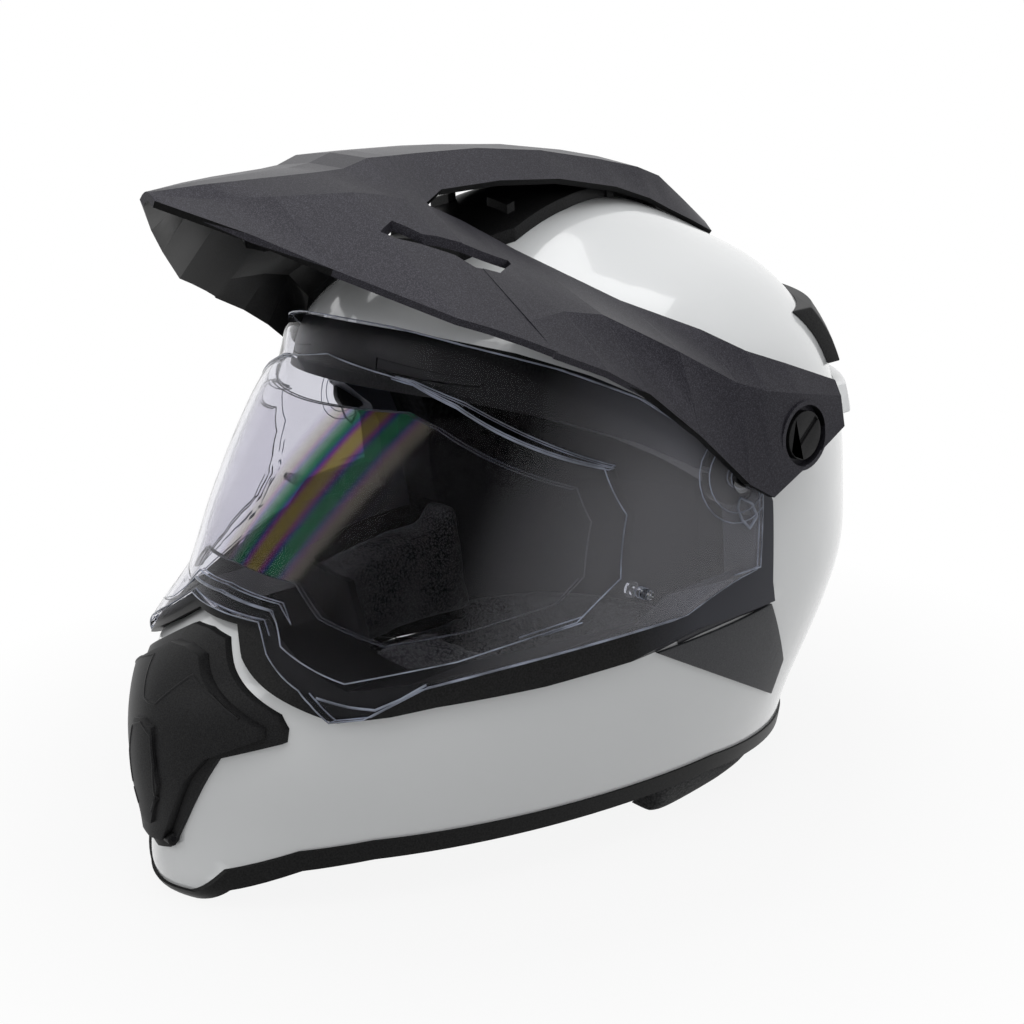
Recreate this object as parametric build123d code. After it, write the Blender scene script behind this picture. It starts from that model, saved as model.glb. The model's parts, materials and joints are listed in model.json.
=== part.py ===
"""Dual sport helmet: shell, liner, visor, peak, vents and straps as separate parts."""
import math
import os

from build123d import *

# Driving sizes, mm. The front looks along -Y, the left side of the wearer is +X.
HALF_WIDTH = 125.0      # half the width of the shell
REAR_REACH = 200.0      # from the origin line back to the rear of the shell
MEAN_REACH = 170.0      # from the widest place of the shell to its front and rear, mean
HEIGHT = 250.0          # ground to the crown of the shell
WALL = 4.0              # thickness of the outer shell
RIM = 2.0               # thickness of the visor
LENS = 1.2              # thickness of the inner lens
FOAM = 32.0             # thickness of the crown liner
CHIN_FOAM = 18.0        # thickness of the chin liner
PAD = 8.0               # thickness of the crown pad
TRIM = 2.4              # thickness of plastic trims
PEAK = 3.0              # thickness of the peak
BAND = 8.0              # height of the rubber band on the bottom edge
WEB = 24.0              # width of the strap webbing
WEB_THICK = 1.6         # thickness of the strap webbing
SEAT = 0.1              # gap between parts that are fixed to each other
SOFT_GAP = 0.5          # gap round soft parts
RUN = 0.35              # gap between parts that move past each other
FIT = 0.05              # radial clearance of a shaft in its hole
POINTS = 28             # points on each section of the shell

# Where things sit, as shares of half width (x), rear reach (y) and height (z)
CENTRE_share = 0.31
HINGE_share = (1.04, 0.235, 0.600)
SCREW_share = (1.09, 0.39, 0.644)
PIN_share = (0.935, 0.02, 0.452)

# Shell sections: height, width, front, rear, centre, front power, rear power
SECTION_shares = [
    (0.000, 0.800, -0.700, 0.790, 0.250, 1.75, 2.10),
    (0.060, 0.864, -0.715, 0.810, 0.260, 1.75, 2.20),
    (0.120, 0.904, -0.705, 0.800, 0.270, 1.75, 2.20),
    (0.200, 0.944, -0.705, 0.855, 0.285, 1.75, 2.20),
    (0.280, 0.976, -0.690, 0.930, 0.300, 1.75, 2.20),
    (0.352, 1.000, -0.638, 0.975, 0.310, 1.75, 2.20),
    (0.416, 1.008, -0.525, 0.990, 0.310, 1.80, 2.20),
    (0.488, 1.012, -0.450, 0.982, 0.310, 1.80, 2.20),
    (0.568, 1.008, -0.370, 0.975, 0.310, 1.80, 2.20),
    (0.648, 0.984, -0.280, 0.950, 0.320, 1.85, 2.20),
    (0.728, 0.928, -0.225, 0.925, 0.330, 1.90, 2.15),
    (0.800, 0.816, -0.208, 0.890, 0.340, 1.95, 2.10),
    (0.860, 0.672, -0.145, 0.820, 0.350, 2.00, 2.10),
    (0.912, 0.496, -0.030, 0.715, 0.355, 2.00, 2.00),
    (0.964, 0.316, 0.105, 0.585, 0.355, 2.00, 2.00),
    (0.986, 0.196, 0.205, 0.498, 0.355, 2.00, 2.00),
    (0.998, 0.072, 0.300, 0.408, 0.355, 2.00, 2.00),
]
# Raised pane of the visor: the same columns
PANE_shares = [
    (0.320, 1.008, -0.605, 0.700, 0.200, 1.80, 2.00),
    (0.420, 1.008, -0.552, 0.700, 0.200, 1.80, 2.00),
    (0.480, 1.008, -0.508, 0.700, 0.200, 1.80, 2.00),
    (0.540, 1.004, -0.463, 0.700, 0.200, 1.80, 2.00),
    (0.600, 0.990, -0.413, 0.700, 0.200, 1.80, 2.00),
    (0.660, 0.960, -0.360, 0.700, 0.200, 1.80, 2.00),
    (0.720, 0.910, -0.300, 0.700, 0.200, 1.80, 2.00),
    (0.820, 0.800, -0.215, 0.700, 0.200, 1.80, 2.00),
]

# Side view outlines (y, z) and front view outlines (x, z), front and low points first
BOTTOM_side_shares = [(-0.80, -0.20), (-0.80, 0.020), (-0.70, 0.020), (-0.66, 0.064), (-0.56, 0.098),
                      (-0.45, 0.108), (0.25, 0.108), (0.45, 0.090), (0.65, 0.070), (0.83, 0.058),
                      (1.10, 0.058), (1.10, -0.20)]
PORT_side_shares = [(-1.20, 0.24), (0.35, 0.24), (0.350, 0.372), (0.340, 0.408), (0.335, 0.544),
                    (0.310, 0.588), (0.225, 0.652), (0.140, 0.712), (0.040, 0.764), (-0.050, 0.800),
                    (-0.150, 0.828), (-0.225, 0.844), (-1.20, 0.844)]
PORT_front_shares = [(0.0, 0.42), (0.112, 0.42), (0.216, 0.388), (0.448, 0.332), (0.528, 0.312),
                     (0.624, 0.316), (0.696, 0.324), (0.848, 0.332), (0.944, 0.344), (1.0, 0.372),
                     (1.3, 0.380), (1.3, 1.1), (0.0, 1.1)]
EYE_side_shares = [(-1.20, 0.24), (0.29, 0.24), (0.280, 0.440), (0.275, 0.530), (0.250, 0.570),
                   (0.160, 0.624), (0.080, 0.664), (-0.020, 0.700), (-0.120, 0.728), (-0.220, 0.744),
                   (-1.20, 0.744)]
EYE_front_shares = [(0.0, 0.456), (0.136, 0.456), (0.256, 0.420), (0.464, 0.372), (0.528, 0.356),
                    (0.640, 0.360), (0.848, 0.380), (0.944, 0.400), (0.976, 0.440), (1.3, 0.440),
                    (1.3, 1.1), (0.0, 1.1)]
VISOR_side_shares = [(-1.20, 0.24), (0.28, 0.24), (0.285, 0.460), (0.290, 0.560), (0.285, 0.620),
                     (0.250, 0.642), (0.170, 0.668), (0.085, 0.732), (-0.020, 0.780), (-0.125, 0.816),
                     (-0.185, 0.840), (-0.230, 0.852), (-1.20, 0.852)]
VISOR_front_shares = [(0.0, 0.434), (0.200, 0.432), (0.296, 0.400), (0.440, 0.362), (0.480, 0.344),
                      (0.528, 0.318), (0.592, 0.320), (0.680, 0.356), (0.792, 0.372), (1.0, 0.400),
                      (1.048, 0.448), (1.3, 0.450), (1.3, 1.1), (0.0, 1.1)]
PANE_front_shares = [(0.0, 0.456), (0.224, 0.448), (0.320, 0.408), (0.536, 0.368), (0.728, 0.388),
                     (0.896, 0.424), (0.944, 0.480), (0.936, 0.574), (0.880, 0.644), (0.512, 0.736),
                     (0.352, 0.764), (0.0, 0.792)]
VENT_front_shares = [(0.0, 0.404), (0.096, 0.400), (0.192, 0.372), (0.384, 0.320), (0.408, 0.300),
                     (0.408, 0.280), (0.248, 0.252), (0.064, 0.088), (0.0, 0.080)]
COVER_front_shares = [(0.0, 0.388), (0.085, 0.384), (0.170, 0.360), (0.368, 0.304), (0.372, 0.290),
                      (0.230, 0.254), (0.172, 0.216), (0.060, 0.104), (0.0, 0.100)]
INTAKE_front_shares = [(0.0, 0.330), (0.100, 0.322), (0.200, 0.290), (0.170, 0.230), (0.0, 0.200)]


def place(share, sizes):
    """A point from its shares of half width, rear reach and height."""
    return tuple(part * size for part, size in zip(share, sizes))


def spot(share):
    return place(share, (HALF_WIDTH, REAR_REACH, HEIGHT))


def section(row, grow):
    """One closed level section; grow moves it outwards by scaling about the widest place."""
    height, width, front, rear, middle, front_power, rear_power = row
    wide, reach, tall = 1 + grow / HALF_WIDTH, 1 + grow / MEAN_REACH, 1 + grow / HEIGHT
    centre = CENTRE_share * REAR_REACH
    points, marks = [], [step / POINTS for step in range(POINTS + 1)]
    for step in range(POINTS):
        turn = 2 * math.pi * step / POINTS
        ahead, across = math.cos(turn), math.sin(turn)
        power = front_power if ahead > 0 else rear_power
        length = (middle - front if ahead > 0 else rear - middle) * REAR_REACH
        x = width * HALF_WIDTH * math.copysign(abs(across) ** (2 / power), across)
        y = middle * REAR_REACH - math.copysign(length * abs(ahead) ** (2 / power), ahead)
        points.append((x * wide, centre + (y - centre) * reach, height * HEIGHT * tall))
    points = [Vector(*point) for point in points]
    return make_face(Wire(Edge.make_spline(points, periodic=True, parameters=marks)))


def skin(grow):
    """Solid inside the shell form, moved outwards by grow."""
    return loft([section(row, grow) for row in SECTION_shares])


def layer(outer, inner):
    return skin(outer) - skin(inner)


def slab(outer, inner, form):
    """The part of a layer that lies inside form."""
    return (skin(outer) & form) - skin(inner)


def side_prism(shares, grow=0.0, low=-2.0, high=2.0):
    """Side view outline carried across, between two shares of the half width."""
    flat = Polyline(*[(y * REAR_REACH, z * HEIGHT) for y, z in shares], close=True)
    face = make_face(flat)
    if grow:
        face = offset(face, grow, kind=Kind.INTERSECTION)
    span = (high - low) * HALF_WIDTH
    solid = extrude(face, span)
    return Plane.YZ.offset(low * HALF_WIDTH) * solid


def front_prism(shares, grow=0.0, near=-1.2, far=0.35, mirrored=True):
    """Front view outline carried back, between two shares of the rear reach."""
    outline = [(x * HALF_WIDTH, z * HEIGHT) for x, z in shares]
    if mirrored:
        outline += [(-x, z) for x, z in reversed(outline) if x > 0]
    face = make_face(Polyline(*outline, close=True))
    if grow:
        face = offset(face, grow, kind=Kind.INTERSECTION)
    solid = extrude(face, -(far - near) * REAR_REACH)
    return Plane.XZ.offset(-near * REAR_REACH) * solid


def block(x, y, z):
    """Box between pairs of shares of half width, rear reach and height."""
    size = [(b - a) * s for (a, b), s in zip((x, y, z), (HALF_WIDTH, REAR_REACH, HEIGHT))]
    mid = [(a + b) / 2 * s for (a, b), s in zip((x, y, z), (HALF_WIDTH, REAR_REACH, HEIGHT))]
    return Pos(*mid) * Box(*size)


def rod(radius, start, end, y, z):
    """Cylinder along X between two x values."""
    return Pos((start + end) / 2, y, z) * Rot(0, 90, 0) * Cylinder(radius, abs(end - start))


def other_side(shape):
    return mirror(shape, about=Plane.YZ)


def below(lift=0.0):
    """Everything under the bottom outline, moved up by lift."""
    return Pos(0, 0, lift) * side_prism(BOTTOM_side_shares)


def port(grow=0.0):
    """Opening in the shell; a negative grow makes it smaller."""
    return side_prism(PORT_side_shares, grow) & front_prism(PORT_front_shares, grow)


def eye():
    """Opening inside the rubber seal."""
    return side_prism(EYE_side_shares) & front_prism(EYE_front_shares)


def top_prism(shares, low=0.7, high=1.2, mirrored=False):
    """Plan outline (x, y) carried up, between two shares of the height."""
    outline = [(x * HALF_WIDTH, y * REAR_REACH) for x, y in shares]
    if mirrored:
        outline += [(-x, y) for x, y in reversed(outline) if x > 0]
    face = make_face(Polyline(*outline, close=True))
    return Pos(0, 0, low * HEIGHT) * extrude(face, (high - low) * HEIGHT)


def one(shape):
    """The largest solid of a shape, which drops loose crumbs from a cut."""
    return max(shape.solids(), key=lambda solid: solid.volume)


# Layers, as distances from the shell surface
SEAL_OUT, SEAL_IN = 3.6, -12.0
BROW_OUT = -0.1         # the seal is lower above the eyes, where the visor swings over it
BROW_shares = ((-2, 2), (-1.2, 1), (0.62, 1.2))
VISOR_IN = 4.1
CROWN_OUT = -(WALL + SOFT_GAP)
CROWN_IN = -(WALL + FOAM)
CHIN_IN = -(WALL + CHIN_FOAM)
PAD_OUT = CROWN_IN - SOFT_GAP
CHEEK_OUT = CHIN_IN - SOFT_GAP
CHEEK_DEPTH = 22.0
NECK_OUT = -(WALL + 2.5)
NECK_DEPTH = 19.0
BASE_OUT = 1.8
COVER_OUT = 4.8
SHAFT = 4.0
PIN = 1.2


def outer_shell():
    shape = layer(0, -WALL) - below() - port()
    shape -= front_prism(INTAKE_front_shares, far=-0.5)
    shape -= block(*INTAKE_shares)
    x, y, z = spot(SCREW_share)
    for side in (1, -1):
        shape -= rod(SHAFT + FIT, side * HALF_WIDTH * 0.8, side * HALF_WIDTH * 1.2, y, z)
    x, y, z = spot(HINGE_share)
    for side in (1, -1):
        shape -= rod(DISC + SEAT, side * HALF_WIDTH * 0.9, side * HALF_WIDTH * 1.2, y, z)
    y, z = vent_hinge()
    shape -= rod(PIN * 2 + RUN, -KNUCKLE * 1.9, KNUCKLE * 1.9, y, z)
    return one(shape)


def edge_trim():
    grip = BASE_OUT * 0.65
    band = (skin(grip) - skin(-WALL - grip)) & (below() - below(-BAND))
    return one(band & block((-2, 2), (-2, 2), (0, 1)))


def port_seal():
    ring = slab(SEAL_OUT, SEAL_IN, port(-SEAT) - eye())
    ring -= block(*BROW_shares) - skin(BROW_OUT)
    x, y, z = spot(HINGE_share)
    for side in (1, -1):
        ring -= rod(DISC + SEAT, side * DISC_BACK * HALF_WIDTH, side * HALF_WIDTH * 1.3, y, z)
        ring -= brow_pocket(side, SEAT)
    return one(ring)


DISC, DISC_BACK = 11.0, 0.966
SWING = 1.3             # gap from the hinge disc to the visor, which is not round there
BROW_front_shares = [(0.18, 0.790), (0.52, 0.762), (0.50, 0.752), (0.18, 0.772)]


def brow_pocket(side, grow=0.0):
    outline = [(side * x, z) for x, z in BROW_front_shares]
    return front_prism(outline, grow, far=0.1, mirrored=False)


def brow_vent(side):
    top = BROW_OUT - SEAT * 4
    return one(slab(top, top - TRIM, brow_pocket(side)))


def crown_liner():
    shape = slab(CROWN_OUT, CROWN_IN, block((-2, 2), (-2, 2), (0.365, 1.2))) - port()
    x, y, z = spot(SCREW_share)
    for side in (1, -1):
        shape -= rod(SHAFT + SOFT_GAP, side * HALF_WIDTH * 0.8, side * HALF_WIDTH * 1.2, y, z)
    for x in (-0.30, 0.0, 0.30):
        shape -= block((x - 0.04, x + 0.04), (-0.1, 0.8), (0.85, 0.93))
    return one(shape)


def chin_liner():
    shape = slab(CROWN_OUT, CHIN_IN, block((-2, 2), (-2, 0.42), (0, 0.355)))
    shape = shape - below(SOFT_GAP) - port()
    for side in (1, -1):
        low, high = sorted((side * 0.5, side * 1.2))
        shape -= block((low, high), (-0.02, 0.18), (0, 0.26))
    return one(shape)


def crown_pad():
    return one(slab(PAD_OUT, PAD_OUT - PAD, block((-2, 2), (-2, 2), (0.62, 1.2))) - port())


def cheek_pad():
    form = block((0.3, 1.2), (-0.33, 0.40), (0.135, 0.355))
    return one(slab(CHEEK_OUT, CHEEK_OUT - CHEEK_DEPTH, form) - port())


def neck_roll():
    """Roll round the neck; its front ends are lower, under the chin liner."""
    roll = slab(NECK_OUT, NECK_OUT - NECK_DEPTH, block((-2, 2), (0.24, 2), (0, 0.125)))
    return one(roll - block((-2, 2), (0, 0.43), (0.088, 1)))


def chin_curtain():
    shape = skin(CHEEK_OUT) & block((-0.62, 0.62), (-0.72, -0.40), (0.052, 0.060))
    return one(shape)


def breath_guard():
    form = front_prism([(0, 0.30), (0.26, 0.30), (0.34, 0.36), (0.20, 0.45), (0.0, 0.47)], far=-0.1)
    return one(slab(CHEEK_OUT, CHEEK_OUT - TRIM, form))


def side_trim():
    return one(slab(TRIM * 0.75, SEAT, side_prism(PLATE_side_shares, low=0.5, high=1.5)))


PLATE_side_shares = [(0.060, 0.344), (0.420, 0.176), (0.438, 0.238), (0.352, 0.366)]


def pivot_base(side):
    x, y, z = spot(HINGE_share)
    deep, face = HALF_WIDTH * DISC_BACK + SEAT, HALF_WIDTH * 0.994 + SEAL_OUT
    shape = rod(DISC, side * deep, side * face * 1.1, y, z) & skin(VISOR_IN - SWING)
    shape += rod(SHAFT, side * deep, side * (face + RIM * 2), y, z)
    shape -= rod(SHAFT * 0.4, side * (face + RIM * 0.6), side * (face + RIM * 3), y, z)
    return one(shape)


def pivot_cap(side):
    """Clear clip snapped on the end of the hinge pin, outside the visor."""
    x, y, z = spot(HINGE_share)
    face = HALF_WIDTH * 0.994 + SEAL_OUT
    start, end = face + RIM * 2 + SEAT, face + RIM * 2.3
    shape = rod(SHAFT * 1.45, side * start, side * end, y, z)
    shape += rod(SHAFT * 0.4 - SEAT, side * (face + RIM * 0.8), side * end, y, z)
    return one(shape)


def chin_vent_base():
    shape = slab(BASE_OUT, SEAT, front_prism(VENT_front_shares, far=-0.3))
    shape -= front_prism(INTAKE_front_shares, far=-0.5)
    y, z = vent_hinge()
    for side in (1, -1):
        shape += rod(PIN * 2, side * KNUCKLE, side * KNUCKLE * 1.7, y, z)
    shape -= rod(PIN, -HALF_WIDTH, HALF_WIDTH, y, z)
    return one(shape - rod(PIN * 2 + RUN, -KNUCKLE, KNUCKLE, y, z))


KNUCKLE = 6.0


def vent_hinge():
    """Place of the hinge pin along the lower edge of the chin vent cover."""
    return -0.700 * REAR_REACH - PIN * 2, 0.104 * HEIGHT


def chin_vent_pin():
    y, z = vent_hinge()
    return rod(PIN - FIT, -KNUCKLE * 1.7, KNUCKLE * 1.7, y, z)


def chin_vent_cover():
    shape = slab(COVER_OUT, BASE_OUT + RUN, front_prism(COVER_front_shares, far=-0.3))
    shape += slab(COVER_OUT + TRIM * 0.5, COVER_OUT - SEAT, front_prism(
        [(0.0, 0.296), (0.055, 0.290), (0.085, 0.200), (0.030, 0.130), (0, 0.128)], far=-0.3))
    y, z = vent_hinge()
    for side in (1, -1):
        shape -= rod(PIN * 2 + RUN, side * (KNUCKLE - RUN), side * (KNUCKLE * 1.7 + RUN), y, z)
    shape += rod(PIN * 2, -KNUCKLE + RUN, KNUCKLE - RUN, y, z)
    return one(shape - rod(PIN, -HALF_WIDTH, HALF_WIDTH, y, z))


def chin_vent_mesh():
    shape = slab(-SEAT * 10, -SEAT * 10 - LENS, front_prism(INTAKE_front_shares, -SEAT, far=-0.5))
    for row in range(4):
        z = 0.222 + 0.022 * row
        for column in range(-2, 3):
            x = 0.065 * column
            shape -= block((x - 0.022, x + 0.022), (-1, -0.4), (z, z + 0.012))
    return one(shape)


TOP_VENT_plan_shares = [(0.0, 0.0), (0.20, 0.01), (0.27, 0.12), (0.24, 0.28), (0.20, 0.40),
                        (0.14, 0.57), (0.0, 0.59)]
INTAKE_shares = ((-0.05, 0.05), (0.32, 0.38), (0.9, 1.1))


def top_vent_base():
    """Base under the crest, with ribs on both sides of the slider."""
    shape = skin(TRIM * 2) & top_prism(TOP_VENT_plan_shares, mirrored=True)
    for y in (0.03, 0.14, 0.42):
        rib = skin(TRIM * 3.4) & block((-0.20, 0.20), (y, y + 0.02), (0.7, 1.2))
        shape += rib - block((-0.10, 0.10), (-1, 1), (0.7, 1.2))
    return one(shape - skin(SEAT) - block(*INTAKE_shares))


def top_vent_slider():
    """Flat slider over the crown intake, free to move along Y."""
    foot = skin(TRIM * 2).bounding_box().max.Z + RUN
    y = 0.355 * REAR_REACH
    shape = Pos(0, y, foot + TRIM / 2) * Box(HALF_WIDTH * 0.16, REAR_REACH * 0.10, TRIM)
    shape += Pos(0, y, foot + TRIM) * Box(HALF_WIDTH * 0.10, TRIM, TRIM * 1.4)
    return one(shape)


def rear_exhaust(low, high, reach):
    outline = [(0.0, low), (reach, low + 0.012), (reach * 0.94, high), (0.0, high + 0.01)]
    shape = slab(TRIM * 2, SEAT, front_prism(outline, near=0.45, far=1.4))
    for x in (-0.30, 0.30):
        groove = block((x - 0.16, x + 0.16), (0.3, 1.5), (low + 0.02, low + 0.036))
        shape -= groove - skin(TRIM)
    return one(shape)


# Visor
def pane_form(grow):
    return loft([section(row, grow) for row in PANE_shares])


def visor():
    form = side_prism(VISOR_side_shares) & front_prism(VISOR_front_shares)
    bulge = pane_form(0) & front_prism(PANE_front_shares, far=0.2) & form
    hollow = pane_form(-RIM) & front_prism(PANE_front_shares, -RIM, far=0.2)
    shape = one((skin(VISOR_IN + RIM) & form) + bulge - skin(VISOR_IN) - hollow)
    x, y, z = spot(HINGE_share)
    for side in (1, -1):
        shape -= rod(SHAFT + FIT, 0, side * HALF_WIDTH * 1.4, y, z)
    x, y, z = spot(PIN_share)
    for side in (1, -1):
        shape -= rod(STUD + FIT, 0, side * HALF_WIDTH * 1.4, y, z)
    return one(shape)


STUD = 2.0
LENS_shares = ((-2, 2), (-2, 2), (0, 0.72))


def lens_insert():
    gap = RIM + SOFT_GAP
    form = front_prism(PANE_front_shares, -TRIM * 4, far=0.1) & block(*LENS_shares)
    shape = (pane_form(-gap) & form) - pane_form(-gap - LENS)
    x, y, z = spot(PIN_share)
    for side in (1, -1):
        shape -= rod(STUD + RUN, 0, side * HALF_WIDTH * 1.4, y, z)
    return one(shape)


def lens_pin(side):
    x, y, z = spot(PIN_share)
    shape = rod(STUD, side * (x - TRIM), side * (x + TRIM * 3), y, z)
    return one(shape + rod(STUD * 1.6, side * (x - TRIM * 1.5), side * (x - TRIM * 0.9), y, z))


# Peak sections: share of reach, then points (x, z) from the middle out
BEAK_shares = [
    (-0.583, [(0, 1.068), (0.010, 1.067), (0.026, 1.063), (0.044, 1.056)]),
    (-0.490, [(0, 1.074), (0.064, 1.072), (0.112, 1.052), (0.296, 1.008)]),
    (-0.410, [(0, 1.077), (0.112, 1.074), (0.224, 1.052), (0.488, 0.960)]),
    (-0.285, [(0, 1.080), (0.160, 1.076), (0.320, 1.050), (0.768, 0.892)]),
    (-0.240, [(0, 1.084), (0.180, 1.078), (0.345, 1.044), (0.820, 0.876)]),
    (-0.190, [(0, 1.096), (0.192, 1.090), (0.368, 1.034), (0.872, 0.856)]),
    (-0.145, [(0, 1.096), (0.200, 1.090), (0.376, 1.024), (0.920, 0.836)]),
]
CREST_shares = [
    (-0.150, [(0, 1.096), (0.200, 1.090), (0.376, 1.024)]),
    (-0.080, [(0, 1.094), (0.200, 1.090), (0.312, 1.038)]),
    (0.070, [(0, 1.092), (0.200, 1.088), (0.304, 1.040)]),
    (0.235, [(0, 1.082), (0.200, 1.074), (0.288, 1.030)]),
    (0.405, [(0, 1.062), (0.200, 1.048), (0.272, 1.004)]),
    (0.515, [(0, 1.044), (0.200, 1.028), (0.256, 0.976)]),
    (0.585, [(0, 1.028), (0.192, 1.008), (0.240, 0.952)]),
    (0.665, [(0, 0.972), (0.184, 0.962), (0.224, 0.926)]),
    (0.745, [(0, 0.922), (0.176, 0.914), (0.208, 0.898)]),
]
WING_shares = [
    (-0.150, [(0.376, 1.024), (0.816, 0.874), (0.920, 0.836)]),
    (-0.060, [(0.360, 0.992), (0.800, 0.876), (0.976, 0.800)]),
    (0.015, [(0.464, 0.944), (0.832, 0.864), (1.016, 0.760)]),
    (0.120, [(0.736, 0.868), (0.976, 0.804), (1.056, 0.684)]),
    (0.225, [(0.904, 0.820), (1.048, 0.748), (1.096, 0.596)]),
    (0.290, [(0.992, 0.784), (1.076, 0.728), (1.104, 0.564)]),
    (0.375, [(1.032, 0.756), (1.084, 0.712), (1.104, 0.592)]),
    (0.510, [(1.056, 0.712), (1.080, 0.688), (1.096, 0.640)]),
]
SLOT_plan_shares = [(0.459, -0.293), (0.436, -0.256), (0.495, -0.219), (0.525, -0.149), (0.559, -0.056),
                    (0.578, -0.059), (0.633, -0.115), (0.620, -0.164), (0.576, -0.187), (0.492, -0.277)]


def inner_line(points, depth):
    """The same line moved in by depth, square to the line at each point."""
    moved = []
    for i, (x, z) in enumerate(points):
        ax, az = points[max(i - 1, 0)]
        bx, bz = points[min(i + 1, len(points) - 1)]
        run, rise = bx - ax, bz - az
        size = math.hypot(run, rise)
        moved.append((x + rise / size * depth, z - run / size * depth))
    return moved


def ribbon(stations, depth, mirrored):
    """Ruled solid of even thickness through open cross-sections."""
    faces = []
    for y, shares in stations:
        line = [(x * HALF_WIDTH, z * HEIGHT) for x, z in shares]
        if mirrored:
            line = [(-x, z) for x, z in reversed(line) if x > 0] + line
        outline = line + list(reversed(inner_line(line, depth)))
        points = [Vector(x, y * REAR_REACH, z) for x, z in outline]
        faces.append(make_face(Wire.make_polygon(points, close=True)))
    return loft(faces, ruled=True)


def peak():
    shape = ribbon(BEAK_shares, PEAK, True) + ribbon(CREST_shares, PEAK, True)
    wing = ribbon(WING_shares, PEAK, False)
    x, y, z = spot(SCREW_share)
    boss = rod(RECESS + PEAK * 0.6, HALF_WIDTH * 1.03, HALF_WIDTH * 1.094, y, z)
    wing = wing + boss - rod(RECESS, HALF_WIDTH * 1.066, HALF_WIDTH * 1.3, y, z)
    wing -= rod(SHAFT + FIT, 0, HALF_WIDTH * 1.3, y, z)
    slot = top_prism(SLOT_plan_shares)
    wing = one(wing)
    shape = shape + wing + other_side(wing) - slot - other_side(slot)
    return one(shape)


RECESS = 12.0


def peak_screw(side):
    x, y, z = spot(SCREW_share)
    seat, head = HALF_WIDTH * 1.066 + RUN, HALF_WIDTH * 1.092
    shape = rod(SHAFT, side * HALF_WIDTH * 0.93, side * seat, y, z)
    shape += rod(RECESS - TRIM, side * seat, side * head, y, z)
    slot = Pos(side * head, y, z) * Rot(40, 0, 0) * Box(TRIM, RECESS * 1.5, TRIM)
    return one(shape - slot)


# Chin strap
STRAP_shares = [(0.853, 0.208), (0.845, 0.172), (0.814, 0.124), (0.736, 0.102), (0.500, 0.062)]
TAIL_shares = [(0.853, 0.208), (0.845, 0.172), (0.814, 0.124), (0.736, 0.102), (0.300, 0.046), (0.060, 0.026)]
STRAP_y_share = 0.08
RING, RING_WIRE = 11.0, 1.5


def webbing(shares, side, loop):
    """Band of webbing along a line in front view."""
    line = [(x * HALF_WIDTH, z * HEIGHT) for x, z in shares]
    outline = line + list(reversed(inner_line(line, WEB_THICK)))
    face = make_face(Polyline(*[(side * x, z) for x, z in outline], close=True))
    band = extrude(face, WEB, both=False)
    start = STRAP_y_share * REAR_REACH
    shape = Plane.XZ.offset(-start - WEB / 2) * band
    if loop:
        x, z = ring_bar(side)
        bar = Pos(x, start, z) * Rot(90, 0, 0)
        shape += bar * Cylinder(RING_WIRE * 2.4, WEB)
        shape -= bar * Cylinder(RING_WIRE + RUN, WEB * 1.2)
    return one(shape)


def ring_bar(side):
    return side * 0.484 * HALF_WIDTH, 0.0575 * HEIGHT


def d_ring():
    x, z = ring_bar(1)
    y = STRAP_y_share * REAR_REACH
    half = WEB / 2 + RING_WIRE * 2.6
    path = Polyline((x, y - half, z), (x, y + half, z), (x - RING, y + half * 0.7, z),
                    (x - RING * 1.6, y, z), (x - RING, y - half * 0.7, z), close=True)
    profile = Plane(origin=(x, y, z), z_dir=(0, 1, 0)) * Circle(RING_WIRE)
    return sweep(profile, path=path, transition=Transition.ROUND)


def strap_anchor(side):
    (x_top, z_top), (x_low, z_low) = STRAP_shares[:2]
    inner = (x_top + x_low) / 2 * HALF_WIDTH - WEB_THICK * 1.4 - SEAT
    y, z = STRAP_y_share * REAR_REACH, (z_top + z_low) / 2 * HEIGHT
    shape = rod(WEB * 0.2, side * (inner - TRIM), side * inner, y, z)
    return one(shape)


def parts():
    made = {
        "outer_shell": outer_shell(), "edge_trim": edge_trim(), "port_seal": port_seal(),
        "eps_crown_liner": crown_liner(), "eps_chin_liner": chin_liner(), "crown_pad": crown_pad(),
        "neck_roll": neck_roll(), "chin_curtain": chin_curtain(), "breath_guard": breath_guard(),
        "chin_vent_base": chin_vent_base(), "chin_vent_mesh": chin_vent_mesh(),
        "chin_vent_pin": chin_vent_pin(), "chin_vent_cover": chin_vent_cover(),
        "top_vent_base": top_vent_base(), "top_vent_slider": top_vent_slider(),
        "rear_exhaust_upper": rear_exhaust(0.680, 0.790, 0.78),
        "rear_exhaust_lower": rear_exhaust(0.600, 0.655, 0.86),
        "visor": visor(), "lens_insert": lens_insert(), "peak": peak(),
        "strap_left": webbing(STRAP_shares, 1, True), "strap_right": webbing(TAIL_shares, -1, False),
        "d_ring": d_ring(),
    }
    for name, shape in (("cheek_pad", cheek_pad()), ("side_trim", side_trim()), ("brow_vent", brow_vent(1))):
        made[name + "_left"], made[name + "_right"] = shape, other_side(shape)
    for name, side in (("left", 1), ("right", -1)):
        made["pivot_base_" + name] = pivot_base(side)
        made["pivot_cap_" + name] = pivot_cap(side)
        made["lens_pin_" + name] = lens_pin(side)
        made["peak_screw_" + name] = peak_screw(side)
        made["strap_anchor_" + name] = strap_anchor(side)
    return made


def main():
    """Writes every piece, with the origin under the middle of the whole part."""
    os.makedirs("parts", exist_ok=True)
    made = parts()
    middle = Compound(list(made.values())).bounding_box().center().Y
    print("origin lies", round(middle, 3), "mm behind the origin line")
    for name, shape in made.items():
        export_step(Pos(0, -middle, 0) * shape, "parts/" + name + ".step")


if __name__ == "__main__":
    main()
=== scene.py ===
"""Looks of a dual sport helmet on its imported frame. It is laid out as an add-on and run as a script."""
import json
import math

import bpy
from bpy.props import FloatProperty, FloatVectorProperty
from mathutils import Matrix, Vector
from mathutils.bvhtree import BVHTree

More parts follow.
